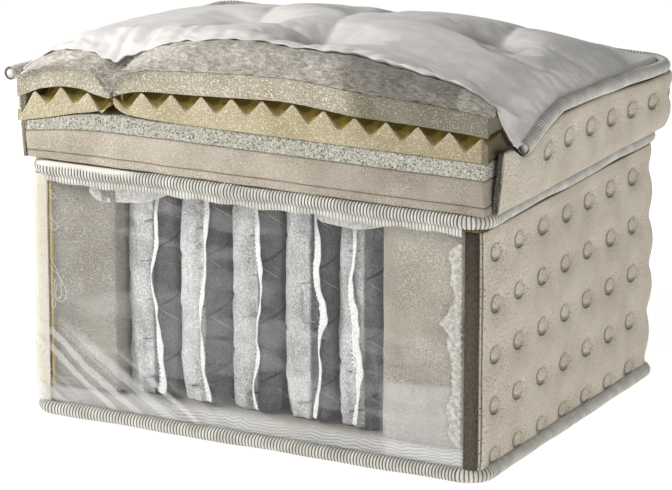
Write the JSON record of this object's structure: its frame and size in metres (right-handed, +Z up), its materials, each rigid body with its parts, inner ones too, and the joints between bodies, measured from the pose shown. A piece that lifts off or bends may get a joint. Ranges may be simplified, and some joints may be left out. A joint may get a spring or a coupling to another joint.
{
  "type": "pocket-sprung pillow-top mattress sample with memory foam",
  "caption": "Cut-away display block of a pocket-sprung pillow-top mattress, with memory foam and egg-crate layers over a clear spring window.",
  "frame": {"origin": "middle of the underside, on the surface that the block stands on", "axes": "+X along the front from left to right, the window faces -Y, +Z up"},
  "size_m": [0.49, 0.3915, 0.374],
  "materials": {
    "ticking": "matt",
    "edge_tape": "matt",
    "seam_cloth": "matt",
    "felt": "matt",
    "nonwoven": "matt",
    "spring_wire": "satin",
    "box_foam": "matt",
    "clear_film": "clear gloss",
    "lining_foam": "matt",
    "comfort_foam": "matt",
    "memory_foam": "matt, speckled",
    "egg_crate_foam": "matt",
    "quilt_foam": "matt",
    "fibre": "matt",
    "knit": "matt"
  },
  "bodies": {
    "base": {"bottom_panel": "felt", "bottom_tape": "edge_tape", "bottom_seam_core": "seam_cloth", "base_foam": "box_foam", "rail_left": "box_foam", "rail_right": "box_foam", "rail_back": "box_foam", "pocket_string_1": "nonwoven", "pocket_string_2": "nonwoven", "pocket_string_3": "nonwoven", "pocket_string_4": "nonwoven", "pocket_string_5": "nonwoven", "coil_string_1": "spring_wire", "coil_string_2": "spring_wire", "coil_string_3": "spring_wire", "coil_string_4": "spring_wire", "coil_string_5": "spring_wire", "lower_border": "ticking", "lower_border_foam": "lining_foam", "window_film": "clear_film"},
    "comfort_top": {"middle_tape": "edge_tape", "middle_seam_core": "seam_cloth", "spring_cover_sheet": "nonwoven", "insulator_pad": "felt", "pillow_base_foam": "lining_foam", "comfort_foam": "comfort_foam", "memory_foam": "memory_foam", "convoluted_foam": "egg_crate_foam", "quilt_foam": "quilt_foam", "fibre_wadding": "fibre", "top_panel": "knit", "upper_border": "ticking", "upper_border_foam": "lining_foam", "top_tape": "edge_tape", "top_seam_core": "seam_cloth", "tuft_cords": "seam_cloth"}
  },
  "joints": [
    {"name": "sleep_surface_press", "type": "slide", "parent": "base", "child": "comfort_top", "axis": [0, 0, 1], "range_m": [-0.055, 0], "stiffness_N_per_m": 12000, "springref_m": 0.03, "deforming": ["rail_left", "rail_right", "rail_back", "pocket_string_1", "pocket_string_2", "pocket_string_3", "pocket_string_4", "pocket_string_5", "coil_string_1", "coil_string_2", "coil_string_3", "coil_string_4", "coil_string_5", "lower_border", "lower_border_foam", "window_film"]}
  ]
}
